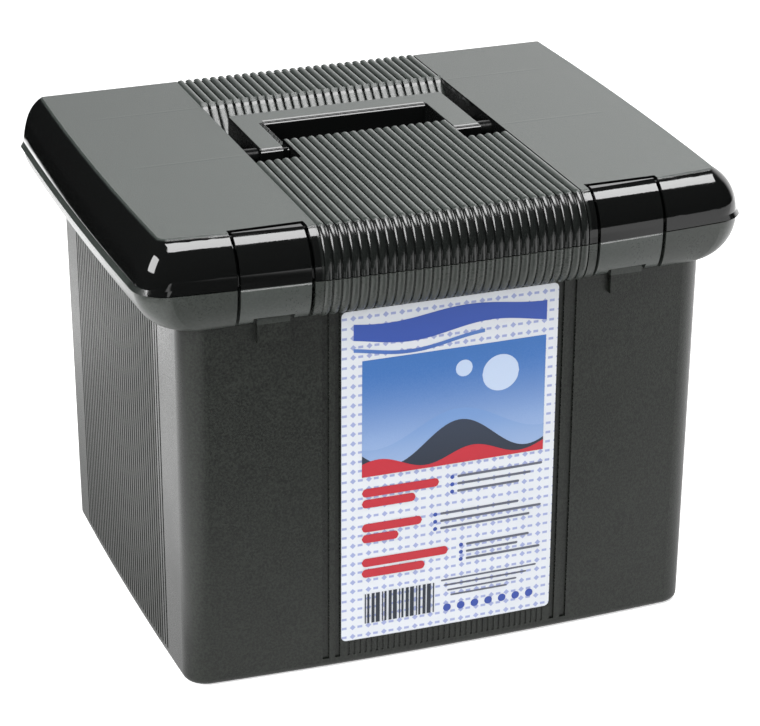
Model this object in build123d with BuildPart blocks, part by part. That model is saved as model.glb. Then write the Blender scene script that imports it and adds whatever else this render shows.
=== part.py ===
from build123d import *
from math import asin, cos, degrees, radians, sin, sqrt, tan
import os

# Portable hanging-file box in black moulded plastic: tapered tub, hinged lid with a bullnose rim, two front
# latches and a fold-down handle in the lid. Millimetres, +Z up, front face towards -Y, origin at the middle
# of the underside.

# ---- Overall form -------------------------------------------------------------------------------------
rim_half_width = 175.2      # rim at its corners; the sides bow out further by side_bow
rim_front = 133.2
rim_back = 132.4
side_bow = 2.6
front_bow = 9.0
lid_top_z = 271.0
seam_z = 243.6              # top of the tub
rim_bottom_z = 220.4
seam_gap = 0.6
rim_front_radius = 18.0
rim_back_radius = 10.0
wall = 2.5                  # moulded wall of tub and lid

# ---- Tub ----------------------------------------------------------------------------------------------
tub_top_half_width = 153.4
tub_top_front = 129.1
tub_top_back = 128.3
tub_top_side_bow = 1.5
tub_top_front_bow = 0.9
base_half_width = 152.6
base_front = 122.2
base_back = 123.0
base_side_bow = 2.0
base_front_bow = 4.7
tub_corner_radius = 14.0
base_edge_radius = 4.0
groove_bottom_z = 6.0       # plain foot below the grooves
floor_thickness = 3.0
rail_top_z = 239.0          # the wall's upper edge, on which folder hooks rest
rail_inset = 0.2            # how far the wall steps back where it runs up inside the rim
side_rib_pitch = 4.4
side_rib_count = 40
side_groove_width = 1.9
side_groove_depth = 0.7
side_rib_middle = 3.5       # middle of the ribbed field along Y
panel_rib_pitch = 3.4
panel_rib_count = 36
panel_groove_width = 1.2
panel_groove_depth = 0.5
band_grooves = ((66.0, 3.0), (73.0, 4.0))   # middle and width of the deep grooves beside the label
band_groove_depth = 1.2

# ---- Lid ----------------------------------------------------------------------------------------------
rim_flat_inset = 14.0       # from the rim's widest line to the edge of the flat top
rim_side_height = 3.4       # upright part of the rim above the lid's lower edge
lip_out = 1.8               # flared lip along the left and right sides
lip_height = 3.0
lid_back_edge_radius = 1.6
rib_pitch = 5.13
rib_count = 30
rib_width = 4.3
rib_proud = 0.6
rib_depth = 1.0             # from the plain surface down to the bottom of the grooves
rib_shoulder = 0.5          # from the plain surface down to the edges of a rib's rounded face
rib_root = 0.6              # how far a rib sinks into the surface below the grooves
rib_foot = 1.5              # how far a rib's lower end runs into the tub's wall
rib_crest_radius = 3.0      # where a rib turns from the bullnose onto the flat top

# ---- Handle recess in the lid -------------------------------------------------------------------------
recess_half_width = 76.5
recess_back = 86.0
recess_slope_angle = 45.0
recess_depth = 22.0
recess_middle_front = 8.0
leg_slot_front = -22.8
peninsula_half_width = 49.8

# ---- Handle -------------------------------------------------------------------------------------------
handle_half_width = 67.4
handle_arm_width = 16.7
handle_bar_back = 61.0
handle_bar_width = 18.0
handle_front = -4.0
handle_thickness = 12.0
handle_sunk = 0.4           # top of the handle below the lid's flat top
handle_corner_radius = 2.5
handle_inner_radius = 3.0
handle_edge_radius = 1.0
handle_pivot_y = 3.5
handle_pin_radius = 2.5
handle_boss_radius = 5.0
handle_boss_gap = 0.4

# ---- Latches ------------------------------------------------------------------------------------------
latch_middle = 103.2
latch_width = 38.7
latch_side_gap = 2.1
latch_thickness = 3.0
latch_sunk = 0.4            # outer face below the rim around it
latch_back_gap = 0.4
latch_bottom_z = 221.2
latch_notch_width = 23.0
latch_notch_height = 3.5
latch_axis_back = 2.8       # pivot axis behind the edge of the flat top, at the latch's middle
latch_barrel_radius = 2.6
latch_pin_radius = 1.25
latch_pin_seat = 4.5        # length of the pin held in the lid at each end
catch_width = 18.6
catch_bottom_z = 209.2
catch_out = 3.2
catch_gap = 0.7             # from the catch's top to the latch's notch

# ---- Lid hinge ----------------------------------------------------------------------------------------
hinge_middle = 105.0
hinge_lid_knuckle = 26.0
hinge_body_knuckle = 14.0
hinge_side_gap = 0.4
hinge_barrel_radius = 4.0
hinge_back_gap = 0.6
hinge_pin_radius = 2.0
hinge_web_height = 10.0

# ---- Fits ---------------------------------------------------------------------------------------------
turning_gap = 0.06          # radial, around every pin that something turns on
label_gap = 0.02            # glue line between the label and the bowed wall

# ---- Label --------------------------------------------------------------------------------------------
label_half_width = 63.9
label_bottom_z = 15.6
label_top_z = 219.4
label_radius = 3.0
label_thickness = 0.25

# ---- Worked out ---------------------------------------------------------------------------------------
lid_bottom_z = seam_z + seam_gap
arc_base_z = lid_bottom_z + rim_side_height
arc_rise = lid_top_z - arc_base_z
arc_radius = (rim_flat_inset ** 2 + arc_rise ** 2) / (2 * rim_flat_inset)
recess_floor_z = lid_top_z - recess_depth
handle_top_z = lid_top_z - handle_sunk
handle_pivot_z = handle_top_z - handle_thickness / 2
pocket_half_width = latch_width / 2 + latch_side_gap
hinge_axis_y = rim_back + hinge_back_gap + hinge_barrel_radius
hinge_axis_z = (seam_z + lid_bottom_z) / 2
overshoot = 2.0             # how far a cutting shape runs past the surface that it cuts
smallest_corner = 1.0       # plan corner radius left where a form is moved far inwards
bullnose_shares = (0.0, 0.36, 0.7, 1.0)                 # sections of the lid's edge, by angle
bulge_levels = (1.0, 0.97, 0.87, 0.68, 0.42, 0.0)       # sections of the tub's rim, by height


def bowed(place, half, bow):
    """Height over its chord, at a place along it, of an arc as long as 2 * half and as high as bow."""
    radius = (half ** 2 + bow ** 2) / (2 * bow)
    return bow - radius + sqrt(radius ** 2 - place ** 2)


def front_at(x):
    """Distance of the rim's front, at its widest line, from the XZ plane at a given x."""
    return rim_front + bowed(x, rim_half_width, front_bow)


latch_axis_y = -(front_at(latch_middle) - rim_flat_inset) + latch_axis_back
latch_axis_z = lid_top_z - latch_sunk - latch_barrel_radius
pocket_back_y = latch_axis_y + latch_barrel_radius + latch_back_gap
pocket_floor_z = latch_axis_z - latch_barrel_radius - latch_back_gap
backing_inset = lid_top_z - pocket_floor_z + wall
catch_top_z = latch_bottom_z + latch_notch_height - catch_gap
hinge_reach = hinge_lid_knuckle / 2 + hinge_side_gap + hinge_body_knuckle


def plan_face(z, side, front, back, bow_side, bow_front, front_radius, back_radius):
    """Four-sided plan with bowed sides and front, straight back and rounded corners."""
    middle = (back - front) / 2
    with BuildSketch(Plane.XY.offset(z)) as face:
        with BuildLine():
            ThreePointArc((-side, -front), (0, -front - bow_front), (side, -front))
            ThreePointArc((side, -front), (side + bow_side, middle), (side, back))
            Line((side, back), (-side, back))
            ThreePointArc((-side, back), (-side - bow_side, middle), (-side, -front))
        make_face()
        fillet(face.vertices().group_by(Axis.Y)[0], front_radius)
        fillet(face.vertices().group_by(Axis.Y)[-1], back_radius)
    return face.sketch


def rim_face(z, inset, back_inset, flare=0.0):
    """Plan of the lid's rim, moved in from its widest line; flare widens the two sides only."""
    return plan_face(
        z,
        rim_half_width - inset + flare,
        rim_front - inset,
        rim_back - back_inset,
        side_bow,
        front_bow,
        max(rim_front_radius - inset, smallest_corner),
        max(rim_back_radius - inset, smallest_corner),
    )


def lid_form(inset, bottom_z):
    """Solid of the lid's outer shape, moved in by inset on its sides, front, back and top."""
    top_angle = asin((arc_rise - inset) / (arc_radius - inset))
    sections = []
    for share in bullnose_shares:
        angle = share * top_angle
        level = arc_base_z + (arc_radius - inset) * sin(angle)
        sections.append(rim_face(level, arc_radius - (arc_radius - inset) * cos(angle), inset))
    with BuildPart() as form:
        loft(sections)
        extrude(rim_face(bottom_z, inset, inset), amount=arc_base_z - bottom_z)
    return form.part


def tub_rim_face(level_share, inset):
    """Plan of the tub's bulging rim: level_share is 0 at the seam and 1 at the rim's lower edge."""
    out = sqrt(1 - level_share ** 2)

    def between(low, high):
        return low + (high - low) * out

    z = seam_z - (seam_z - rim_bottom_z - inset) * level_share
    return plan_face(
        z,
        between(tub_top_half_width, rim_half_width) - inset,
        between(tub_top_front, rim_front) - inset,
        between(tub_top_back, rim_back) - inset,
        between(tub_top_side_bow, side_bow),
        between(tub_top_front_bow, front_bow),
        max(between(tub_corner_radius, rim_front_radius) - inset, smallest_corner),
        max(between(tub_corner_radius, rim_back_radius) - inset, smallest_corner),
    )


def tub_rim_form(inset):
    with BuildPart() as form:
        loft([tub_rim_face(level, inset) for level in bulge_levels])
    return form.part


def tub_sizes(z):
    """Sizes of the tub's plan at a height: straight from base to rim."""
    share = z / rim_bottom_z

    def between(low, high):
        return low + (high - low) * share

    return {
        "side": between(base_half_width, tub_top_half_width),
        "front": between(base_front, tub_top_front),
        "back": between(base_back, tub_top_back),
        "bow_side": between(base_side_bow, tub_top_side_bow),
        "bow_front": between(base_front_bow, tub_top_front_bow),
    }


def tub_plan(z, inset):
    """Plain plan of the tub's wall at a height, moved in by inset."""
    size = tub_sizes(z)
    return plan_face(
        z,
        size["side"] - inset,
        size["front"] - inset,
        size["back"] - inset,
        size["bow_side"],
        size["bow_front"],
        tub_corner_radius - inset,
        tub_corner_radius - inset,
    )


def tub_front_at(x, z):
    """Distance of the tub's front wall from the XZ plane."""
    size = tub_sizes(z)
    return size["front"] + bowed(x, size["side"], size["bow_front"])


def tub_form(inset, bottom_z, top_z):
    with BuildPart() as form:
        loft([tub_plan(bottom_z, inset), tub_plan(top_z, inset)], ruled=True)
    return form.part


def x_slab(x_low, x_high, y_low, y_high, z_low, z_high):
    """Block given by its limits."""
    with BuildPart() as block:
        with Locations(((x_low + x_high) / 2, (y_low + y_high) / 2, (z_low + z_high) / 2)):
            Box(x_high - x_low, y_high - y_low, z_high - z_low)
    return block.part


def rib_section(plane):
    """Rib section: x across the rib, y outwards from the plain surface."""
    with BuildSketch(plane) as face:
        with BuildLine():
            half = rib_width / 2
            root = -rib_depth - rib_root
            ThreePointArc((-half, -rib_shoulder), (0, rib_proud), (half, -rib_shoulder))
            Polyline((half, -rib_shoulder), (half, root), (-half, root), (-half, -rib_shoulder))
        make_face()
    return face.sketch


os.makedirs("parts", exist_ok=True)
rib_places = [(number - (rib_count - 1) / 2) * rib_pitch for number in range(rib_count)]
band_half_width = rib_count * rib_pitch / 2


def lid_rib(x):
    """One rib: up the side of the rim, round the bullnose, over a small crest and along the flat top."""
    front = -front_at(x)
    crest_z = lid_top_z - rib_crest_radius
    crest_angle = asin((crest_z - arc_base_z) / (arc_radius - rib_crest_radius))
    crest_y = front + arc_radius - (arc_radius - rib_crest_radius) * cos(crest_angle)
    with BuildPart() as rib:
        section = rib_section(Plane((x, front, arc_base_z), x_dir=(-1, 0, 0), z_dir=(0, 0, 1)))
        extrude(section, amount=-rim_side_height)
        bullnose = Axis((x, front + arc_radius, arc_base_z), (-1, 0, 0))
        revolve(section, axis=bullnose, revolution_arc=degrees(crest_angle))
        top_section = rib_section(Plane((x, crest_y, lid_top_z), x_dir=(-1, 0, 0), z_dir=(0, 1, 0)))
        crest = Axis((x, crest_y, crest_z), (1, 0, 0))
        revolve(top_section, axis=crest, revolution_arc=90 - degrees(crest_angle))
        extrude(top_section, amount=rim_back - crest_y)
    return rib.part


def slope_rib(x):
    """One rib down the sloping back wall of the handle recess."""
    slope = radians(recess_slope_angle)
    down = (0, -cos(slope), -sin(slope))
    start = rib_proud * tan(slope / 2)
    length = recess_depth / sin(slope)
    origin = (x, recess_back - down[1] * -start, lid_top_z - down[2] * start)
    with BuildPart() as rib:
        plane = Plane(origin, x_dir=(1, 0, 0), z_dir=(0, cos(slope), sin(slope)))
        extrude(rib_section(plane), amount=-(length + start))
    return rib.part


def recess_block(grow, top_z):
    """Handle recess: full-width well with a sloping back and two leg slots, grown outwards by grow."""
    slope = radians(recess_slope_angle)
    floor_z = recess_floor_z - grow
    back_y = recess_back + grow / sin(slope)
    run = 1 / tan(slope)
    with BuildPart() as block:
        with BuildSketch(Plane.YZ.offset(-recess_half_width - grow)):
            Polygon(
                (recess_middle_front - grow, floor_z),
                (back_y - (lid_top_z - floor_z) * run, floor_z),
                (back_y + (top_z - lid_top_z) * run, top_z),
                (recess_middle_front - grow, top_z),
                align=None,
            )
        extrude(amount=2 * (recess_half_width + grow))
        for side in (-1, 1):
            slot_middle = side * (recess_half_width + peninsula_half_width) / 2
            slot_width = recess_half_width - peninsula_half_width + 2 * grow
            with Locations((slot_middle, (recess_middle_front + leg_slot_front) / 2, (top_z + floor_z) / 2)):
                Box(slot_width, recess_middle_front - leg_slot_front + 2 * grow, top_z - floor_z)
    return block.part


def tub_rim_rib(x):
    """One rib over the front of the tub's bulging rim, a quarter of an ellipse in side view."""
    tub_front = tub_front_at(x, rim_bottom_z)
    side_view = Plane((x, -tub_front, seam_z), x_dir=(0, 1, 0), z_dir=(1, 0, 0))
    with BuildPart() as rib:
        with BuildLine(side_view) as path:
            EllipticalCenterArc((0, 0), front_at(x) - tub_front, seam_z - rim_bottom_z, 180, arc_size=90)
            Line((0, rim_bottom_z - seam_z), (rib_foot, rim_bottom_z - seam_z))
        section = rib_section(Plane((x, -front_at(x), seam_z), x_dir=(-1, 0, 0), z_dir=(0, 0, 1)))
        sweep(section, path=path.line)
    return rib.part


def latch_slab(side, half_width, y_low, y_high, z_low, z_high):
    """Block as wide as a latch or its pocket, on the left (-1) or right (1) side of the front."""
    middle = side * latch_middle
    return x_slab(middle - half_width, middle + half_width, y_low, y_high, z_low, z_high)


def rod(radius, x_low, x_high, y, z):
    """Round bar along X."""
    with BuildPart() as bar:
        with BuildSketch(Plane((x_low, y, z), x_dir=(0, 1, 0), z_dir=(1, 0, 0))):
            Circle(radius)
        extrude(amount=x_high - x_low)
    return bar.part


def hinge_knuckle(x_low, x_high, up):
    """Barrel of the lid hinge with its web: up is 1 for the lid and -1 for the tub."""
    root_y = rim_back - wall / 2
    root_z = lid_bottom_z if up > 0 else seam_z
    with BuildPart() as knuckle:
        with BuildSketch(Plane.YZ.offset(x_low)):
            with Locations((hinge_axis_y, hinge_axis_z)):
                Circle(hinge_barrel_radius)
            Polygon(
                (root_y, root_z),
                (rim_back + hinge_back_gap, root_z),
                (hinge_axis_y, hinge_axis_z),
                (hinge_axis_y, hinge_axis_z + up * hinge_barrel_radius),
                (root_y, hinge_axis_z + up * hinge_web_height),
                align=None,
            )
        extrude(amount=x_high - x_low)
    return knuckle.part


def latch_pin_span(side):
    """Left and right ends of a latch's pin."""
    seat = pocket_half_width + latch_pin_seat
    return side * latch_middle - seat, side * latch_middle + seat


def handle_pin_span(side):
    """Left and right ends of a handle pin, through the recess wall and into the middle of the recess."""
    return sorted((side * (peninsula_half_width - wall), side * (recess_half_width + wall)))


def hinge_pin_span(side):
    """Left and right ends of a lid hinge's pin."""
    return side * hinge_middle - hinge_reach, side * hinge_middle + hinge_reach


front_reach = rim_front + front_bow + 2 * overshoot     # clear of everything at the front

# ---- Lid ----------------------------------------------------------------------------------------------
with BuildPart() as lid_band:
    add(x_slab(-band_half_width, band_half_width, -front_reach, front_reach, 0, lid_top_z + overshoot))
    add(lid_form(rib_depth, -overshoot), mode=Mode.SUBTRACT)

with BuildPart() as latch_backing:
    for side in (-1, 1):
        reach = pocket_half_width + latch_pin_seat
        add(latch_slab(side, reach, -front_reach, pocket_back_y + wall, lid_bottom_z, lid_top_z))
    add(lid_form(0.0, lid_bottom_z), mode=Mode.INTERSECT)
    add(lid_form(backing_inset, 0), mode=Mode.SUBTRACT)

with BuildPart() as lid_pockets:
    for side in (-1, 1):
        add(latch_slab(side, pocket_half_width, -front_reach, pocket_back_y, 0, lid_top_z + overshoot))
    add(lid_form(latch_sunk + latch_thickness + latch_back_gap, -overshoot), mode=Mode.SUBTRACT)
    for side in (-1, 1):
        pocket_front_y = latch_axis_y - latch_barrel_radius - latch_back_gap
        add(latch_slab(side, pocket_half_width, pocket_front_y, pocket_back_y, pocket_floor_z, lid_top_z))

with BuildPart() as lid_ribs:
    add([lid_rib(x) for x in rib_places])
    add(recess_block(0, lid_top_z + overshoot), mode=Mode.SUBTRACT)
    add([slope_rib(x) for x in rib_places])

with BuildPart() as lid:
    add(lid_form(0.0, lid_bottom_z))
    fillet(lid.edges().filter_by(Axis.X).group_by(Axis.Z)[-1].sort_by(Axis.Y)[-1], lid_back_edge_radius)
    loft([rim_face(lid_bottom_z, 0, 0, lip_out), rim_face(lid_bottom_z + lip_height, 0, 0)])
    add(lid_form(wall, lid_bottom_z - overshoot), mode=Mode.SUBTRACT)
    add(lid_band.part, mode=Mode.SUBTRACT)
    add(latch_backing.part)
    add(lid_pockets.part, mode=Mode.SUBTRACT)
    add(recess_block(wall, lid_top_z - wall))
    add(recess_block(0, lid_top_z + overshoot), mode=Mode.SUBTRACT)
    for side in (-1, 1):
        boss = sorted((side * (handle_half_width + handle_boss_gap), side * (recess_half_width + wall / 2)))
        add(rod(handle_boss_radius, *boss, handle_pivot_y, handle_pivot_z))
        knuckle_low = side * hinge_middle - hinge_lid_knuckle / 2
        add(hinge_knuckle(knuckle_low, knuckle_low + hinge_lid_knuckle, 1))
        add(rod(latch_pin_radius, *latch_pin_span(side), latch_axis_y, latch_axis_z), mode=Mode.SUBTRACT)
        handle_seat = rod(handle_pin_radius, *handle_pin_span(side), handle_pivot_y, handle_pivot_z)
        add(handle_seat, mode=Mode.SUBTRACT)
        hinge_bore = hinge_pin_radius + turning_gap
        add(rod(hinge_bore, *hinge_pin_span(side), hinge_axis_y, hinge_axis_z), mode=Mode.SUBTRACT)
    add(lid_ribs.part)


# ---- Tub ----------------------------------------------------------------------------------------------
def grooved_run(start, end, grooves, point):
    """Segments along a bowed wall from start to end: three points for an arc, four for a groove."""
    segments = []
    for middle, width, depth in grooves:
        low, high = middle - width / 2, middle + width / 2
        segments.append((point(start, 0), point((start + low) / 2, 0), point(low, 0)))
        segments.append((point(low, 0), point(low, depth), point(high, depth), point(high, 0)))
        start = high
    segments.append((point(start, 0), point((start + end) / 2, 0), point(end, 0)))
    return segments


def even_grooves(count, pitch, middle, width, depth):
    """Evenly spaced grooves, each as (middle, width, depth)."""
    return [(middle + (number - (count - 1) / 2) * pitch, width, depth) for number in range(count)]


def ribbed_plan(z):
    """Plan of the tub's wall with the vertical grooves of its sides and front."""
    size = tub_sizes(z)
    side, front, back = size["side"], size["front"], size["back"]
    middle, half = (back - front) / 2, (back + front) / 2

    def right_point(y, depth):
        return side + bowed(y - middle, half, size["bow_side"]) - depth, y

    def left_point(y, depth):
        return -right_point(y, depth)[0], y

    def front_point(x, depth):
        return x, depth - front - bowed(x, side, size["bow_front"])

    side_grooves = even_grooves(
        side_rib_count, side_rib_pitch, side_rib_middle, side_groove_width, side_groove_depth
    )
    front_grooves = even_grooves(panel_rib_count, panel_rib_pitch, 0, panel_groove_width, panel_groove_depth)
    for place, width in band_grooves:
        front_grooves.insert(0, (-place, width, band_groove_depth))
        front_grooves.append((place, width, band_groove_depth))
    segments = grooved_run(-side, side, front_grooves, front_point)
    segments += grooved_run(-front, back, side_grooves, right_point)
    segments += grooved_run(-front, back, side_grooves, left_point)
    with BuildSketch(Plane.XY.offset(z)) as face:
        with BuildLine():
            for points in segments:
                if len(points) == 3:
                    ThreePointArc(*points)
                else:
                    Polyline(*points)
            Line((side, back), (-side, back))
        make_face()
        corners = face.vertices().sort_by(lambda vertex: -abs(vertex.X) - abs(vertex.Y))[:4]
        fillet(corners, tub_corner_radius)
    return face.sketch


with BuildPart() as tub_wall:
    add(tub_form(0.0, 0.0, groove_bottom_z))
    fillet(tub_wall.edges().group_by(Axis.Z)[0], base_edge_radius)
    loft([ribbed_plan(groove_bottom_z), ribbed_plan(rim_bottom_z)], ruled=True)
    add(tub_form(wall, floor_thickness, rim_bottom_z), mode=Mode.SUBTRACT)

with BuildPart() as wall_prism:
    extrude(tub_plan(rim_bottom_z, rail_inset), amount=seam_z - rim_bottom_z + overshoot)

with BuildPart() as tub_clear:
    extrude(tub_plan(rim_bottom_z, -latch_back_gap), amount=seam_z - rim_bottom_z)

with BuildPart() as rim_band:
    add(x_slab(-band_half_width, band_half_width, -front_reach, 0, 0, seam_z))
    add(tub_rim_form(rib_depth), mode=Mode.SUBTRACT)

with BuildPart() as latch_cheeks:
    for side in (-1, 1):
        add(latch_slab(side, pocket_half_width + wall, -front_reach, 0, rim_bottom_z, seam_z))
    add(tub_rim_form(0), mode=Mode.INTERSECT)

with BuildPart() as rim_pockets:
    for side in (-1, 1):
        add(latch_slab(side, pocket_half_width, -front_reach, 0, 0, seam_z + overshoot))
    add(wall_prism.part, mode=Mode.SUBTRACT)

with BuildPart() as body:
    add(tub_rim_form(0))
    add(tub_rim_form(wall), mode=Mode.SUBTRACT)
    add(rim_band.part, mode=Mode.SUBTRACT)
    add(latch_cheeks.part)
    extrude(tub_plan(rim_bottom_z, rail_inset), amount=rail_top_z - rim_bottom_z)
    add(rim_pockets.part, mode=Mode.SUBTRACT)
    extrude(tub_plan(rim_bottom_z, wall), amount=seam_z - rim_bottom_z + overshoot, mode=Mode.SUBTRACT)
    for side in (-1, 1):
        catch_y = -tub_front_at(latch_middle, catch_top_z)
        catch_low = side * latch_middle - catch_width / 2
        catch_limits = (catch_low, catch_low + catch_width, catch_y - catch_out, catch_y + wall / 2)
        add(x_slab(*catch_limits, catch_bottom_z, catch_top_z))
        for end in (-1, 1):
            inner = hinge_lid_knuckle / 2 + hinge_side_gap
            knuckle = sorted((side * hinge_middle + end * inner, side * hinge_middle + end * hinge_reach))
            add(hinge_knuckle(*knuckle, -1))
        add(rod(hinge_pin_radius, *hinge_pin_span(side), hinge_axis_y, hinge_axis_z), mode=Mode.SUBTRACT)
    add([tub_wall.part, *[tub_rim_rib(x) for x in rib_places]])

# ---- Handle -------------------------------------------------------------------------------------------
with BuildPart() as handle:
    with BuildSketch(Plane.XY.offset(handle_top_z - handle_thickness)) as bail:
        with BuildLine():
            Polyline(
                (-handle_half_width, handle_front),
                (-handle_half_width, handle_bar_back),
                (handle_half_width, handle_bar_back),
                (handle_half_width, handle_front),
                (handle_half_width - handle_arm_width, handle_front),
                (handle_half_width - handle_arm_width, handle_bar_back - handle_bar_width),
                (handle_arm_width - handle_half_width, handle_bar_back - handle_bar_width),
                (handle_arm_width - handle_half_width, handle_front),
                close=True,
            )
        make_face()
        rows = bail.vertices().group_by(Axis.Y)
        fillet(rows[-1], handle_corner_radius)
        fillet(rows[1], handle_inner_radius)
    extrude(amount=handle_thickness)
    front_bottom = handle.edges().filter_by(Axis.X).group_by(Axis.Y)[0].group_by(Axis.Z)[0]
    fillet(front_bottom, handle_thickness / 2 - handle_edge_radius)
    fillet(handle.faces().sort_by(Axis.Z)[-1].edges(), handle_edge_radius)
    for side in (-1, 1):
        handle_bore = handle_pin_radius + turning_gap
        add(rod(handle_bore, *handle_pin_span(side), handle_pivot_y, handle_pivot_z), mode=Mode.SUBTRACT)
handle.part.label = "handle"
export_step(handle.part, "parts/handle.step")

for side, name in ((-1, "left"), (1, "right")):
    # ---- Latches --------------------------------------------------------------------------------------
    barrel_span = (side * latch_middle - latch_width / 2, side * latch_middle + latch_width / 2)
    notch_half = latch_notch_width / 2
    notch_top_z = latch_bottom_z + latch_notch_height
    with BuildPart() as latch:
        add(lid_form(latch_sunk, seam_z))
        add(tub_rim_form(latch_sunk))
        add(lid_form(latch_sunk + latch_thickness, seam_z), mode=Mode.SUBTRACT)
        add(tub_rim_form(latch_sunk + latch_thickness), mode=Mode.SUBTRACT)
        outline = latch_slab(side, latch_width / 2, -front_reach, latch_axis_y, latch_bottom_z, lid_top_z)
        add(outline, mode=Mode.INTERSECT)
        add(tub_clear.part, mode=Mode.SUBTRACT)
        add(latch_slab(side, notch_half, -front_reach, 0, rim_bottom_z, notch_top_z), mode=Mode.SUBTRACT)
        add(rod(latch_barrel_radius, *barrel_span, latch_axis_y, latch_axis_z))
        latch_bore = latch_pin_radius + turning_gap
        add(rod(latch_bore, *barrel_span, latch_axis_y, latch_axis_z), mode=Mode.SUBTRACT)
    latch.part.label = "latch_" + name
    export_step(latch.part, "parts/latch_" + name + ".step")

    # ---- Pins -----------------------------------------------------------------------------------------
    latch_pin = rod(latch_pin_radius, *latch_pin_span(side), latch_axis_y, latch_axis_z)
    latch_pin.label = "latch_pin_" + name
    export_step(latch_pin, "parts/latch_pin_" + name + ".step")

    handle_pin = rod(handle_pin_radius, *handle_pin_span(side), handle_pivot_y, handle_pivot_z)
    handle_pin.label = "handle_pin_" + name
    export_step(handle_pin, "parts/handle_pin_" + name + ".step")

    hinge_pin = rod(hinge_pin_radius, *hinge_pin_span(side), hinge_axis_y, hinge_axis_z)
    hinge_pin.label = "hinge_pin_" + name
    export_step(hinge_pin, "parts/hinge_pin_" + name + ".step")

# ---- Label --------------------------------------------------------------------------------------------
with BuildPart() as front_label:
    with BuildSketch(Plane.XZ) as sheet:
        with Locations((0, (label_bottom_z + label_top_z) / 2)):
            RectangleRounded(2 * label_half_width, label_top_z - label_bottom_z, label_radius)
    extrude(amount=front_reach)
    add(tub_form(-label_gap - label_thickness, 0, rim_bottom_z), mode=Mode.INTERSECT)
    add(tub_form(-label_gap, 0, rim_bottom_z), mode=Mode.SUBTRACT)
front_label.part.label = "front_label"
export_step(front_label.part, "parts/front_label.step")

lid.part.label = "lid"
export_step(lid.part, "parts/lid.step")
body.part.label = "body"
export_step(body.part, "parts/body.step")
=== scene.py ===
from math import cos, pi, sin, sqrt

import bpy
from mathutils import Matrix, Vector


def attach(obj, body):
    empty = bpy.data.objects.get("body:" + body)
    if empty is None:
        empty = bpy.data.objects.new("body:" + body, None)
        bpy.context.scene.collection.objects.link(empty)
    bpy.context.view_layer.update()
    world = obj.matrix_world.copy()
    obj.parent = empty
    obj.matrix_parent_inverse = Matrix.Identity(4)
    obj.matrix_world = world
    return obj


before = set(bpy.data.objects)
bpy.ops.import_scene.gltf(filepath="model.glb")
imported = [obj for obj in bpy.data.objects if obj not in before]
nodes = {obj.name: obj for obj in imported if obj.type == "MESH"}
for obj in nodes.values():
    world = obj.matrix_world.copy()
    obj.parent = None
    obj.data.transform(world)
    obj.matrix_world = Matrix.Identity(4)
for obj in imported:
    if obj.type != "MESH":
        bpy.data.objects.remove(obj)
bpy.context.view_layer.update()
scene = bpy.context.scene
scene.view_settings.view_transform = "Standard"

# ---- Places on the CAD model, in metres ---------------------------------------------------------------
LID_TOP = 0.2710
SEAM = 0.2436               # between the lid and the tub's rim
LIP_TOP = 0.2472            # upper edge of the flared lip on the lid's sides
RECESS_FLOOR = 0.2490       # of the handle's recess
RIM_BOTTOM = 0.2204         # the tub's wall ends here
BASE_HALF_WIDTH, TOP_HALF_WIDTH = 0.1526, 0.1534
BASE_FRONT, TOP_FRONT = 0.1222, 0.1291
BASE_BOW, TOP_BOW = 0.0047, 0.0009
GRIP_FRONT = 0.0430
ARM_INNER, ARM_END = 0.0507, -0.0040
HANDLE_TOP = 0.2706

# ---- Camera -------------------------------------------------------------------------------------------
CAMERA_PLACE = (-0.54698, -1.50124, 0.82522)
CAMERA_YAW, CAMERA_PITCH = 0.353, 0.412
CAMERA_FOCAL_PX = 2919.9    # at the image's width of 760 px
SENSOR_WIDTH = 36.0
IMAGE_WIDTH_PX = 760
camera_data = bpy.data.cameras.new("camera")
camera_data.sensor_width = SENSOR_WIDTH
camera_data.sensor_fit = "HORIZONTAL"
camera_data.lens = CAMERA_FOCAL_PX / IMAGE_WIDTH_PX * SENSOR_WIDTH
camera = bpy.data.objects.new("camera", camera_data)
camera.location = CAMERA_PLACE
camera.rotation_euler = (pi / 2 - CAMERA_PITCH, 0, -CAMERA_YAW)
scene.collection.objects.link(camera)
scene.camera = camera


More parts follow.
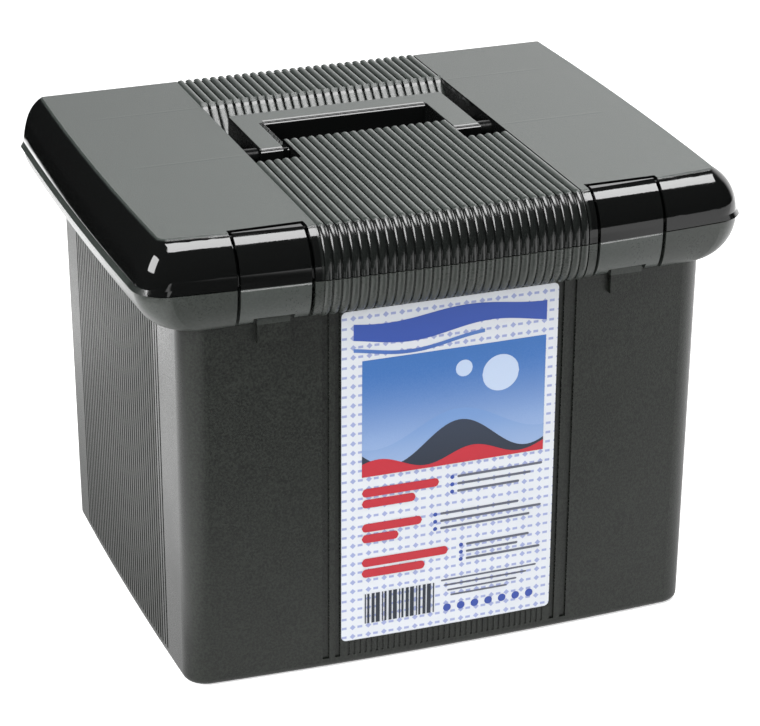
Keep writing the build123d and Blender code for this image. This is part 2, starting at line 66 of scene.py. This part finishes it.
# ---- Node helpers -------------------------------------------------------------------------------------
class Tree:
    """Short calls for building a node tree."""

    def __init__(self, tree):
        self.tree = tree
        self.tree.nodes.clear()

    def node(self, kind, **inputs):
        made = self.tree.nodes.new(kind)
        for name, value in inputs.items():
            self.put(made.inputs[name.replace("_", " ")], value)
        return made

    def put(self, socket, value):
        if isinstance(value, bpy.types.NodeSocket):
            self.tree.links.new(value, socket)
        else:
            socket.default_value = value

    def math(self, operation, *values, clamp=False):
        made = self.tree.nodes.new("ShaderNodeMath")
        made.operation = operation
        made.use_clamp = clamp
        for socket, value in zip(made.inputs, values):
            self.put(socket, value)
        return made.outputs[0]

    def chain(self, operation, first, *others):
        for other in others:
            first = self.math(operation, first, other)
        return first

    def times(self, *values):
        return self.chain("MULTIPLY", *values)

    def plus(self, *values):
        return self.chain("ADD", *values)

    def most(self, *values):
        return self.chain("MAXIMUM", *values)

    def less(self, value, taken, clamp=False):
        return self.math("SUBTRACT", value, taken, clamp=clamp)

    def size(self, value):
        return self.math("ABSOLUTE", value)

    def ramp(self, value, low, high, out_low=0.0, out_high=1.0):
        """Smooth step of a value between two limits. Where low is above high the step falls."""
        made = self.tree.nodes.new("ShaderNodeMapRange")
        made.interpolation_type = "SMOOTHSTEP"
        for name, given in (("Value", value), ("From Min", low), ("From Max", high),
                            ("To Min", out_low), ("To Max", out_high)):
            self.put(made.inputs[name], given)
        return made.outputs["Result"]

    def mix(self, share, low, high):
        """Blend of two numbers."""
        made = self.tree.nodes.new("ShaderNodeMix")
        made.data_type = "FLOAT"
        self.put(made.inputs[0], share)
        self.put(made.inputs[2], low)
        self.put(made.inputs[3], high)
        return made.outputs[0]

    def mix_colour(self, share, low, high):
        """Blend of two colours."""
        made = self.tree.nodes.new("ShaderNodeMix")
        made.data_type = "RGBA"
        self.put(made.inputs[0], share)
        self.put(made.inputs[6], low)
        self.put(made.inputs[7], high)
        return made.outputs[2]

    def noise(self, place, scale, detail=2.0, roughness=0.5):
        made = self.node("ShaderNodeTexNoise", Vector=place, Scale=scale, Detail=detail, Roughness=roughness)
        return made.outputs["Fac"]

    def bump(self, height, normal=None):
        """Normal of a surface with a height in metres."""
        made = self.node("ShaderNodeBump", Height=height, Distance=1.0, Strength=1.0)
        if normal is not None:
            self.put(made.inputs["Normal"], normal)
        return made.outputs["Normal"]

    def axes(self):
        """Object coordinates, their x, y and z, and those of the normal in the object's own frame."""
        coordinates = self.node("ShaderNodeTexCoord").outputs
        place = coordinates["Object"]
        at = self.node("ShaderNodeSeparateXYZ", Vector=place).outputs
        facing = self.node("ShaderNodeSeparateXYZ", Vector=coordinates["Normal"]).outputs
        return place, at, facing


def material(name):
    made = bpy.data.materials.new(name)
    made.use_nodes = True
    return made, Tree(made.node_tree)


def finish_material(tree, shader):
    tree.put(tree.node("ShaderNodeOutputMaterial").inputs["Surface"], shader)


def dress(name, made):
    """Gives a CAD node its material."""
    slots = nodes[name].data.materials
    slots.clear()
    slots.append(made)


# ---- Black moulded plastic ----------------------------------------------------------------------------
JET = (0.0042, 0.0045, 0.0044, 1)
PLASTIC_IOR = 1.5
CLOUD_SHARE = 0.35          # of broad clouds in the mottle, the rest is fine speckle
WAVE_DEPTH = 0.00035        # slow waves of a moulded face, in metres
SPECULAR_LEVELS = (0.5, 0.10)   # usual, and where shade is painted in full


def plastic(name, polish_share, matte_colours, rough_matte, rough_gloss, grain_depth,
            grain_scale=1500.0, shape=None, painted_shade=None):
    """Black plastic: polish_share(tree, x y z, normal) is 1 where the surface is polished.

    shape gives a height that the normal follows. The shade mask is 1 where shade is painted: there the matte colour
    is left out and the specular level is lowered, so the surface renders darker.
    """
    made, tree = material(name)
    place, at, facing = tree.axes()
    polished = polish_share(tree, at, facing)
    matte = tree.less(1.0, polished)
    cloud = tree.noise(place, 60.0, 4.0, 0.6)
    grain = tree.noise(place, grain_scale, 3.0, 0.65)
    smudge = tree.ramp(tree.noise(place, 22.0, 5.0, 0.65), 0.35, 0.75)
    speckle = tree.ramp(tree.noise(place, 750.0, 2.0, 0.75), 0.36, 0.64)
    mottle = tree.plus(tree.times(cloud, CLOUD_SHARE), tree.times(speckle, 1.0 - CLOUD_SHARE))
    rough_low = tree.mix(smudge, rough_gloss * 0.8, rough_gloss * 1.5)
    rough_high = tree.mix(mottle, rough_matte * 0.88, rough_matte * 1.12)
    shader = tree.node("ShaderNodeBsdfPrincipled", IOR=PLASTIC_IOR)
    # Painted shade: where the shade mask is 1, the matte colour gives way to jet black and the specular level drops.
    dust_share_less_painted_shade = matte
    if painted_shade is not None:
        painted_shade_share = painted_shade(tree, at, facing)
        dust_share_less_painted_shade = tree.times(matte, tree.less(1.0, painted_shade_share))
        tree.put(shader.inputs["Specular IOR Level"], tree.ramp(painted_shade_share, 0.5, 1.0, *SPECULAR_LEVELS))
    tree.put(shader.inputs["Base Color"], tree.mix_colour(dust_share_less_painted_shade, JET, matte_colours(tree, at, mottle)))
    tree.put(shader.inputs["Roughness"], tree.mix(polished, rough_high, rough_low))
    fine = tree.bump(tree.times(grain, matte, grain_depth))
    height = tree.times(tree.noise(place, 9.0, 1.0), WAVE_DEPTH)
    if shape is not None:
        height = tree.plus(height, shape(tree, at, facing))
    tree.put(shader.inputs["Normal"], tree.bump(height, normal=fine))
    finish_material(tree, shader.outputs["BSDF"])
    return made


def dust(low, high):
    """Matte colour between two tones."""
    return lambda tree, at, share: tree.mix_colour(share, (*low, 1), (*high, 1))


# ---- Masks of the lid ---------------------------------------------------------------------------------
# A pair of limits runs from where its mask is 0 to where it is 1.
TOP_FACE = (LID_TOP - 0.0004, LID_TOP - 0.0001)
TOP_FACE_TILT = (0.95, 0.995)
CREST = (LID_TOP - 0.0011, LID_TOP - 0.0003)
CREST_TILT = (0.30, 0.60)
CREST_MATTE = 0.85
SIDE_LIP = (LIP_TOP + 0.0002, LIP_TOP - 0.0002)
SIDE_LIP_PLACE = (0.1715, 0.1735)
SIDE_LIP_MATTE = 0.8
FRONT_RIBS_SIDE = (0.0785, 0.0780)
FRONT_RIBS = (-0.110, -0.114)
FRONT_RIBS_DEPTH = (LID_TOP - 0.0002, LID_TOP - 0.0010)
FRONT_RIBS_MATTE = 0.26
# Share of painted shade on the front ribs, which leaves out half of their matte colour
FRONT_RIBS_PAINTED_SHADE = 0.5
RECESS_SIDE = (0.0772, 0.0766)
RECESS_FRONT = (-0.0240, -0.0226)
RECESS_DEPTH = (LID_TOP - 0.0016, LID_TOP - 0.0026)
RECESS_BOTTOM = (RECESS_FLOOR - 0.0010, RECESS_FLOOR - 0.0005)
RECESS_MATTE = 0.55
BOSS_SIDE = (0.0640, 0.0645)
BOSS_BACK = (0.030, 0.028)
BOSS_DEPTH = (LID_TOP - 0.0006, LID_TOP - 0.0010)
SLOPE_PITCH = 0.00513       # of the ribs on the recess's slope
SLOPE_PHASE = 35.0          # whole pitches that bring the ribs into step with the CAD's own
SLOPE_DOME = 0.0007         # height of the round on each of those ribs
CREASES = (0.0800, -0.0090)     # faint lines across the plain parts of the top, at these y
CREASE_X = (0.0785, 0.1500)
CREASE_HALF_WIDTH, CREASE_HEIGHT = 0.0016, 0.00006


def in_handle_recess(tree, at):
    """1 on the walls and the floor of the handle's recess and on the two pin bosses in it."""
    outer = tree.size(at[0])
    within = tree.times(tree.ramp(outer, *RECESS_SIDE), tree.ramp(at[1], *RECESS_FRONT))
    beside_arms = tree.times(tree.ramp(outer, *BOSS_SIDE), tree.ramp(at[1], *BOSS_BACK))
    bosses = tree.times(beside_arms, tree.ramp(at[2], *BOSS_DEPTH))
    low = tree.most(tree.ramp(at[2], *RECESS_DEPTH), bosses)
    return tree.times(within, low, tree.ramp(at[2], *RECESS_BOTTOM))


def lid_polish(tree, at, facing):
    """Polished rim, matte top and nearly matte rib crests and side lips, between the two in recess and front ribs."""
    outer = tree.size(at[0])
    flat = tree.times(tree.ramp(at[2], *TOP_FACE), tree.ramp(facing[2], *TOP_FACE_TILT))
    crest = tree.times(tree.ramp(at[2], *CREST), tree.ramp(facing[2], *CREST_TILT), CREST_MATTE)
    lip = tree.times(tree.ramp(at[2], *SIDE_LIP), tree.ramp(outer, *SIDE_LIP_PLACE), SIDE_LIP_MATTE)
    ribbed = tree.times(tree.ramp(outer, *FRONT_RIBS_SIDE), tree.ramp(at[1], *FRONT_RIBS), FRONT_RIBS_MATTE)
    recess = tree.times(in_handle_recess(tree, at), RECESS_MATTE)
    return tree.less(1.0, tree.most(flat, crest, lip, ribbed, recess))


def lid_painted_shade(tree, at, facing):
    """Painted shade: 1 in the recess but for the top of its ribbed slope, a half on the front ribs."""
    ribbed = tree.times(tree.ramp(at[1], *FRONT_RIBS, 0.0, FRONT_RIBS_PAINTED_SHADE), tree.ramp(at[2], *FRONT_RIBS_DEPTH))
    not_slope = tree.most(tree.ramp(facing[1], -0.60, -0.50), tree.ramp(facing[2], 0.3, 0.1),
                          tree.ramp(at[1], 0.050, 0.045))
    return tree.most(ribbed, tree.times(in_handle_recess(tree, at), not_slope))


def lid_shape(tree, at, facing):
    """Rounded faces on the ribs of the recess's slope, and the faint lines on the plain parts of the top."""
    along = tree.math("FRACT", tree.plus(tree.math("DIVIDE", at[0], SLOPE_PITCH), SLOPE_PHASE))
    off_middle = tree.times(tree.size(tree.less(along, 0.5)), 2.0)
    dome = tree.math("SQRT", tree.less(1.001, tree.times(off_middle, off_middle), clamp=True))
    slope = tree.times(tree.ramp(facing[1], -0.55, -0.65), tree.ramp(facing[1], -0.85, -0.75))
    height = tree.times(dome, tree.ramp(at[1], 0.060, 0.062), slope, SLOPE_DOME)
    outer = tree.size(at[0])
    plain = tree.times(tree.ramp(outer, CREASE_X[0] - 0.001, CREASE_X[0]),
                       tree.ramp(outer, CREASE_X[1], CREASE_X[1] - 0.012))
    for y in CREASES:
        near = tree.size(tree.less(at[1], y))
        height = tree.plus(height, tree.times(tree.ramp(near, CREASE_HALF_WIDTH, 0.0), CREASE_HEIGHT, plain))
    return height


# ---- Masks of the tub, the latches and the handle -----------------------------------------------------
RIM_MATTE_EDGE = (RIM_BOTTOM - 0.0005, RIM_BOTTOM + 0.0005)
# Where the tub's colour changes from the wall's dust to the rim's painted floor light
RIM_PAINTED_LIGHT_EDGE = (RIM_BOTTOM - 0.0002, RIM_BOTTOM + 0.0002)
RIM_POLISH = 0.45
CORNER_TILT = (0.68, 0.90)  # the plain strips and corners in front of the ribbed sides
CORNER_PLACE = (-0.0735, -0.0745)
CORNER_POLISH = 0.5
LATCH_EDGE = (SEAM - 0.0005, SEAM + 0.0005)
LATCH_LOW_POLISH = 0.15
LATCH_STEP = 0.0018
PIN_POLISH = 0.3
SOFT_EDGE = 0.0034          # width of the handle's soft edges
SOFT_FLAT = 0.0007          # of that width, the part next to the edge that stays level
GRIP_FALL, LEFT_FALL, FACE_FALL = 0.97, 0.6, 1.04   # slopes that catch the lamp overhead


def body_polish(tree, at, facing):
    """Half polished on the rim and on the front corners, grained elsewhere."""
    rim = tree.times(tree.ramp(at[2], *RIM_MATTE_EDGE), RIM_POLISH)
    corner = tree.times(tree.ramp(tree.size(facing[0]), *CORNER_TILT), tree.ramp(at[1], *CORNER_PLACE))
    return tree.most(rim, tree.times(corner, CORNER_POLISH))


def tub_dust_and_painted_floor_light(tree, at, share):
    """Darker wall, and a lighter rim whose lighter colour is painted light from the white floor below."""
    wall = tree.mix_colour(share, (0.003, 0.004, 0.003, 1), (0.022, 0.027, 0.021, 1))
    rim = tree.mix_colour(share, (0.050, 0.058, 0.051, 1), (0.082, 0.094, 0.083, 1))
    return tree.mix_colour(tree.ramp(at[2], *RIM_PAINTED_LIGHT_EDGE), wall, rim)


def latch_polish(tree, at, facing):
    """Polished above the seam, nearly matte below it."""
    return tree.ramp(at[2], *LATCH_EDGE, LATCH_LOW_POLISH, 1.0)


def latch_shape(tree, at, facing):
    """Step at the seam, below which the latch stands slightly proud."""
    return tree.ramp(at[2], SEAM - 0.0012, SEAM - 0.0001, LATCH_STEP, 0.0)


def pin_polish(tree, at, facing):
    return PIN_POLISH


def handle_edges(tree, at):
    """How far a point lies within each soft edge of the handle's top, in metres: grip, arm ends, left arm."""
    between = tree.ramp(tree.size(at[0]), ARM_INNER + 0.0002, ARM_INNER - 0.0002)
    on_grip = tree.ramp(at[1], GRIP_FRONT - 0.0120, GRIP_FRONT - 0.0110)
    on_left_arm = tree.times(tree.ramp(at[1], GRIP_FRONT - 0.0003, GRIP_FRONT - 0.0009),
                             tree.ramp(at[0], 0.0, -0.001))
    distances = (tree.less(GRIP_FRONT + SOFT_EDGE, at[1], clamp=True),
                 tree.less(ARM_END + SOFT_EDGE, at[1], clamp=True),
                 tree.less(at[0], -ARM_INNER - SOFT_EDGE, clamp=True))
    grip, ends, left = (tree.math("MINIMUM", each, SOFT_EDGE - SOFT_FLAT) for each in distances)
    return tree.times(grip, between, on_grip), ends, tree.times(left, on_left_arm)


def handle_polish(tree, at, facing):
    """Matte top with polished edges, sides at 0.4, polished elsewhere."""
    sideways = tree.ramp(tree.size(facing[0]), 0.5, 0.8, 1.0, 0.4)
    faces = tree.times(tree.ramp(facing[2], 0.985, 0.90), sideways)
    edge = tree.ramp(tree.plus(*handle_edges(tree, at)), 0.0, 0.0002)
    return tree.most(faces, tree.times(edge, tree.ramp(facing[2], 0.60, 0.70)))


def handle_painted_shade(tree, at, facing):
    """Painted shade: 1 on the handle's sides."""
    return tree.ramp(tree.size(facing[0]), 0.5, 0.8)


def handle_shape(tree, at, facing):
    """Slopes of the soft edges, and of the upper edge of the faces that look to the front."""
    grip, ends, left = handle_edges(tree, at)
    fall = tree.plus(tree.times(tree.plus(grip, ends), GRIP_FALL), tree.times(left, LEFT_FALL))
    down_face = tree.less(at[2], HANDLE_TOP - 0.0016, clamp=True)
    down_face = tree.times(down_face, tree.ramp(facing[1], -0.90, -0.97, 0.0, FACE_FALL))
    return tree.times(tree.plus(fall, down_face), -1.0)


TOP_DUST = dust((0.026, 0.032, 0.029), (0.057, 0.067, 0.061))
# The latch's matte colour, shown mostly below the seam, is a matte tone with painted light from the white floor
# below.
LATCH_DUST_AND_PAINTED_FLOOR_LIGHT = dust((0.058, 0.066, 0.061), (0.078, 0.088, 0.081))
PIN_DUST = dust((0.004, 0.004, 0.004), (0.009, 0.009, 0.009))
dress("lid", plastic("lid_plastic", lid_polish, TOP_DUST, 0.42, 0.06, 0.00012, shape=lid_shape, painted_shade=lid_painted_shade))
dress("body", plastic("tub_plastic", body_polish, tub_dust_and_painted_floor_light, 0.40, 0.16, 0.00016, 1100.0))
dress("handle", plastic("handle_plastic", handle_polish, TOP_DUST, 0.40, 0.05, 0.00008,
                        shape=handle_shape, painted_shade=handle_painted_shade))
for side in ("left", "right"):
    dress("latch_" + side, plastic("latch_plastic_" + side, latch_polish, LATCH_DUST_AND_PAINTED_FLOOR_LIGHT, 0.34, 0.06, 0.00008,
                                   shape=latch_shape))
    for pin in ("handle_pin", "latch_pin"):
        dress(f"{pin}_{side}", plastic(f"{pin}_plastic_{side}", pin_polish, PIN_DUST, 0.60, 0.45, 0.00003))


# ---- Steel of the hinge pins --------------------------------------------------------------------------
STEEL_STRETCH = (40.0, 2500.0, 2500.0)      # noise per metre along the pin and across it
STEEL_LINE_DEPTH = 0.00002


def drawn_steel(name):
    """Steel pin with fine lines along its length."""
    made, tree = material(name)
    place = tree.axes()[0]
    stretched = tree.node("ShaderNodeVectorMath")
    stretched.operation = "MULTIPLY"
    tree.put(stretched.inputs[0], place)
    tree.put(stretched.inputs[1], STEEL_STRETCH)
    lines = tree.noise(stretched.outputs[0], 1.0)
    shader = tree.node("ShaderNodeBsdfPrincipled", Metallic=1.0)
    tree.put(shader.inputs["Base Color"], tree.mix_colour(lines, (0.42, 0.42, 0.43, 1), (0.62, 0.62, 0.63, 1)))
    tree.put(shader.inputs["Roughness"], tree.mix(lines, 0.25, 0.42))
    tree.put(shader.inputs["Normal"], tree.bump(tree.times(lines, STEEL_LINE_DEPTH)))
    finish_material(tree, shader.outputs["BSDF"])
    return made


for side in ("left", "right"):
    dress("hinge_pin_" + side, drawn_steel("hinge_pin_steel_" + side))

# ---- Label: paper and inks ----------------------------------------------------------------------------
LABEL_GAP = 0.00034         # from the plain wall to the front of the label
PRINT_RISE = 0.00003        # one printed layer in front of another
PATTERN_PITCH, PATTERN_ROW = 0.0094, 0.0058     # of the paper's small repeat
PATTERN_START = 1.0         # keeps the repeat's count above 0


def wall_at(x, z):
    """How far the tub's front wall stands from the XZ plane, for x and z in metres."""
    share = z / RIM_BOTTOM
    half = BASE_HALF_WIDTH + (TOP_HALF_WIDTH - BASE_HALF_WIDTH) * share
    bow = BASE_BOW + (TOP_BOW - BASE_BOW) * share
    radius = (half ** 2 + bow ** 2) / (2 * bow)
    return BASE_FRONT + (TOP_FRONT - BASE_FRONT) * share + bow - radius + sqrt(radius ** 2 - x ** 2)


def on_label(x, z, layer):
    """Point of a printed shape for a place on the label in millimetres: later layers lie on top."""
    x, z = x / 1000, z / 1000
    return x, -wall_at(x, z) - LABEL_GAP - PRINT_RISE * layer, z


def paper_material():
    """Pale coated paper with a faint repeat of small diamonds and dashes."""
    made, tree = material("label_paper")
    place, at, facing = tree.axes()
    across = tree.math("FRACT", tree.math("DIVIDE", tree.plus(at[0], PATTERN_START), PATTERN_PITCH))
    up = tree.math("FRACT", tree.math("DIVIDE", tree.plus(at[2], PATTERN_START), PATTERN_ROW))
    from_row = tree.size(tree.less(up, 0.5))
    from_diamond = tree.times(tree.size(tree.less(across, 0.3)), 1.6)
    diamond = tree.ramp(tree.plus(from_diamond, from_row), 0.34, 0.26)
    from_dash = tree.size(tree.less(across, 0.76))
    dash = tree.times(tree.ramp(from_dash, 0.17, 0.14), tree.ramp(from_row, 0.16, 0.1))
    blotch = tree.noise(place, 35.0, 3.0)
    paper_colour = tree.mix_colour(blotch, (0.66, 0.69, 0.74, 1), (0.74, 0.77, 0.81, 1))
    shader = tree.node("ShaderNodeBsdfPrincipled")
    tree.put(shader.inputs["Base Color"],
             tree.mix_colour(tree.most(diamond, dash), paper_colour, (0.33, 0.38, 0.63, 1)))
    tree.put(shader.inputs["Roughness"], tree.mix(blotch, 0.34, 0.48))
    tree.put(shader.inputs["Normal"], tree.bump(tree.times(tree.noise(place, 900.0), 0.00001)))
    finish_material(tree, shader.outputs["BSDF"])
    return made


def ink_material(name, low, high, z_low, z_high):
    """Printed colour that goes from low to high up the label, between two heights in millimetres, finely grained."""
    made, tree = material(name)
    place, at, facing = tree.axes()
    share = tree.ramp(at[2], z_low / 1000, z_high / 1000)
    grain = tree.noise(place, 1400.0)
    mottled = tree.math("ADD", share, tree.times(tree.less(grain, 0.5), 0.12), clamp=True)
    shader = tree.node("ShaderNodeBsdfPrincipled")
    tree.put(shader.inputs["Base Color"], tree.mix_colour(mottled, (*low, 1), (*high, 1)))
    tree.put(shader.inputs["Roughness"], tree.mix(grain, 0.30, 0.45))
    finish_material(tree, shader.outputs["BSDF"])
    return made


# ---- Label: printed design, in millimetres ------------------------------------------------------------
LABEL_LOW, LABEL_HIGH = 15, 220
PICTURE_LEFT, PICTURE_RIGHT = -52, 57
PICTURE_LOW, PICTURE_HIGH = 118, 189
PICTURE_FADE = (96, 186)    # heights between which the picture's colours change
TEXT_RIGHT = 57
COLUMN_STEP = 2.5           # between the columns of a printed shape
LAYERS = {"pale": 2, "haze": 3, "night": 4, "red": 5}

dress("front_label", paper_material())
INKS = {
    "deep_blue": ink_material("ink_deep_blue", (0.03, 0.07, 0.36), (0.035, 0.09, 0.42), LABEL_LOW, LABEL_HIGH),
    "sky": ink_material("ink_sky", (0.42, 0.55, 0.78), (0.04, 0.16, 0.47), *PICTURE_FADE),
    "blue_line": ink_material("ink_blue_line", (0.05, 0.13, 0.45), (0.10, 0.22, 0.55), 188, 200),
    "pale": ink_material("ink_pale", (0.62, 0.70, 0.83), (0.50, 0.61, 0.80), *PICTURE_FADE),
    "haze": ink_material("ink_haze", (0.30, 0.42, 0.66), (0.16, 0.30, 0.60), 118, 152),
    "night": ink_material("ink_night", (0.020, 0.028, 0.045), (0.05, 0.07, 0.12), *PICTURE_FADE),
    "red": ink_material("ink_red", (0.50, 0.015, 0.03), (0.56, 0.02, 0.04), LABEL_LOW, LABEL_HIGH),
    "grey": ink_material("ink_grey", (0.11, 0.12, 0.16), (0.13, 0.14, 0.19), LABEL_LOW, LABEL_HIGH),
}
ink_names = list(INKS)
print_vertices, print_faces, print_inks = [], [], []


def printed(x_low, x_high, low, high, ink, step=COLUMN_STEP):
    """Printed shape between two edges, each a function of x."""
    layer = LAYERS.get(ink, 1)
    count = max(1, round((x_high - x_low) / step))
    first = len(print_vertices)
    for number in range(count + 1):
        x = x_low + (x_high - x_low) * number / count
        print_vertices.extend((on_label(x, low(x), layer), on_label(x, high(x), layer)))
    for number in range(count):
        corner = first + 2 * number
        print_faces.append((corner, corner + 2, corner + 3, corner + 1))
        print_inks.append(ink_names.index(ink))


def bar(x_low, x_high, z_low, z_high, ink):
    """Bar with rounded ends."""
    radius = (z_high - z_low) / 2
    middle = (z_low + z_high) / 2

    def reach(x):
        near = min(x - x_low, x_high - x)
        return radius if near >= radius else sqrt(max(radius ** 2 - (radius - near) ** 2, 0.0))

    printed(x_low, x_high, lambda x: middle - reach(x), lambda x: middle + reach(x), ink,
            min(radius / 3, COLUMN_STEP))


def disc(x, z, radius, ink):
    """Round spot."""
    def reach(place):
        return sqrt(max(radius ** 2 - (place - x) ** 2, 0.0))

    printed(x - radius, x + radius, lambda p: z - reach(p), lambda p: z + reach(p), ink, radius / 16)


def picture():
    """Sky with two moons over three rows of hills."""
    def hills(top, ink):
        printed(PICTURE_LEFT, PICTURE_RIGHT, lambda x: PICTURE_LOW, top, ink)

    hills(lambda x: PICTURE_HIGH, "sky")
    disc(30, 170, 11, "pale")
    disc(8, 176, 5, "pale")
    hills(lambda x: 143 + 9 * sin((x + 20) / 16), "haze")
    hills(lambda x: 134 + 11 * cos((x - 6) / 13), "night")
    hills(lambda x: 124 + 4 * sin(x / 9), "red")


def rows_of_bars():
    """Three groups, each of two red bars and three grey ones with a dot, and four grey bars below them."""
    for z, red_end in ((108, -20), (86, -30), (64, -14)):
        bar(PICTURE_LEFT, red_end + 14, z - 2.6, z + 2.6, "red")
        bar(PICTURE_LEFT, red_end, z - 9.4, z - 4.2, "red")
        for line in range(3):
            level = z + 1.6 - 4.6 * line
            disc(red_end + 22, level, 1.25, "deep_blue")
            bar(red_end + 25, TEXT_RIGHT - 7 * ((line + z) % 3), level - 0.75, level + 0.75, "grey")
    for line in range(4):
        bar(-4 + 2 * line, 55 - 6 * line, 44 - 3.4 * line, 45.1 - 3.4 * line, "grey")


def striped_patch():
    """Upright stripes of four widths, in no code."""
    x = -50.0
    for number in range(17):
        width = 0.7 + 0.55 * ((number * 5) % 4)
        printed(x, x + width, lambda x: 25, lambda x: 44, "night")
        x += width + 0.8 + 0.5 * ((number * 3) % 2)


printed(-57, 57, lambda x: 200 + 3.0 * sin(x / 15), lambda x: 212 + 2.2 * sin(x / 15 + 0.9), "deep_blue")
printed(-57, 20, lambda x: 193 + 3.0 * sin(x / 15), lambda x: 195.2 + 3.0 * sin(x / 15), "blue_line")
picture()
rows_of_bars()
striped_patch()
for number in range(7):
    disc(8.5 * number, 26.5, 2.4, "deep_blue")

print_mesh = bpy.data.meshes.new("label_print")
print_mesh.from_pydata(print_vertices, [], print_faces)
for ink in ink_names:
    print_mesh.materials.append(INKS[ink])
print_mesh.polygons.foreach_set("material_index", print_inks)
label_print = bpy.data.objects.new("label_print", print_mesh)
scene.collection.objects.link(label_print)
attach(label_print, "tub")

# ---- Floor --------------------------------------------------------------------------------------------
FLOOR_HALF = 4.0
FLOOR_WHITE = (0.9, 0.9, 0.9, 1)
FLOOR_GLOW = 0.62           # for the camera only, so the white floor keeps its shadow
floor_mesh = bpy.data.meshes.new("floor")
floor_mesh.from_pydata(
    [(-FLOOR_HALF, -FLOOR_HALF, 0), (FLOOR_HALF, -FLOOR_HALF, 0),
     (FLOOR_HALF, FLOOR_HALF, 0), (-FLOOR_HALF, FLOOR_HALF, 0)], [], [(0, 1, 2, 3)])
floor = bpy.data.objects.new("floor", floor_mesh)
scene.collection.objects.link(floor)


def mirrored_floor(tree, at):
    """How bright the floor is in a reflection, by place: stands for the white and black cards around the box."""
    far_back = tree.ramp(at[1], 0.30, 0.42)
    in_front = tree.plus(tree.ramp(at[1], -0.85, -0.50, 0.03, 0.18), tree.ramp(at[1], -0.46, -0.20, 0.0, 0.75),
                         tree.times(far_back, 0.7))
    in_front = tree.times(in_front, tree.ramp(at[0], -0.20, -0.16))
    on_right = tree.ramp(at[0], 0.05, 0.60, 0.0, 1.4)
    on_left = tree.plus(tree.ramp(at[0], -0.165, -0.235, 0.40, 1.8), tree.times(far_back, 1.4))
    on_left = tree.times(on_left, tree.ramp(at[0], -0.16, -0.18), tree.ramp(at[0], -0.385, -0.325))
    far_left = tree.times(tree.ramp(at[0], -0.63, -0.57), tree.ramp(at[0], -0.30, -0.42),
                          tree.ramp(at[1], -0.50, -0.40), tree.ramp(at[1], 0.42, 0.32, 0.0, 1.8))
    return tree.plus(in_front, on_right, on_left, far_left)


def in_reflection(tree, path):
    return tree.most(path["Is Glossy Ray"], path["Is Transmission Ray"])


floor_material, tree = material("floor_white")
place, at, facing = tree.axes()
path = tree.node("ShaderNodeLightPath").outputs
paper = tree.node("ShaderNodeBsdfDiffuse", Color=FLOOR_WHITE)
glow = tree.node("ShaderNodeEmission", Strength=tree.times(path["Is Camera Ray"], FLOOR_GLOW))
both = tree.node("ShaderNodeAddShader")
tree.put(both.inputs[0], paper.outputs[0])
tree.put(both.inputs[1], glow.outputs[0])
in_mirror = tree.node("ShaderNodeEmission", Strength=mirrored_floor(tree, at))
seen = tree.node("ShaderNodeMixShader")
tree.put(seen.inputs[0], in_reflection(tree, path))
tree.put(seen.inputs[1], both.outputs[0])
tree.put(seen.inputs[2], in_mirror.outputs[0])
finish_material(tree, seen.outputs[0])
floor_mesh.materials.append(floor_material)

# ---- World and lamps ----------------------------------------------------------------------------------
WORLD_WHITE = (1, 1, 1, 1)
WORLD_FOR_CAMERA = 1.0
WORLD_LIGHT = 0.36
WORLD_DARK = 0.0096         # in a reflection, away from the card at the back right

world = bpy.data.worlds.new("studio")
scene.world = world
world.use_nodes = True
tree = Tree(world.node_tree)
heading = tree.node("ShaderNodeSeparateXYZ", Vector=tree.node("ShaderNodeTexCoord").outputs["Generated"]).outputs
path = tree.node("ShaderNodeLightPath").outputs
across = tree.plus(tree.ramp(heading[0], -0.08, 0.12, 0.0, 0.96), tree.ramp(heading[0], 0.12, 0.50, 0.0, 1.28))
behind = tree.times(tree.ramp(heading[1], 0.0, 0.3), tree.ramp(heading[2], 0.85, 0.50))
in_mirror = tree.plus(tree.times(across, behind), WORLD_DARK)
level = tree.mix(in_reflection(tree, path), WORLD_LIGHT, in_mirror)
level = tree.mix(path["Is Camera Ray"], level, WORLD_FOR_CAMERA)
background = tree.node("ShaderNodeBackground", Color=WORLD_WHITE, Strength=level)
tree.put(tree.node("ShaderNodeOutputWorld").inputs["Surface"], background.outputs[0])


def softbox(name, place, aim, width, height, power):
    """Rectangular soft lamp turned towards a point."""
    data = bpy.data.lights.new(name, "AREA")
    data.shape = "RECTANGLE"
    data.size, data.size_y = width, height
    data.energy = power
    lamp = bpy.data.objects.new(name, data)
    lamp.location = place
    lamp.rotation_euler = (Vector(aim) - Vector(place)).to_track_quat("-Z", "Y").to_euler()
    scene.collection.objects.link(lamp)


softbox("overhead", (0.45, -0.33, 1.47), (0.45, -0.33, 0), 1.10, 0.46, 22.0)
softbox("left", (-1.248, -0.480, 1.080), (-0.167, -0.127, 0.262), 0.66, 0.90, 25.0)
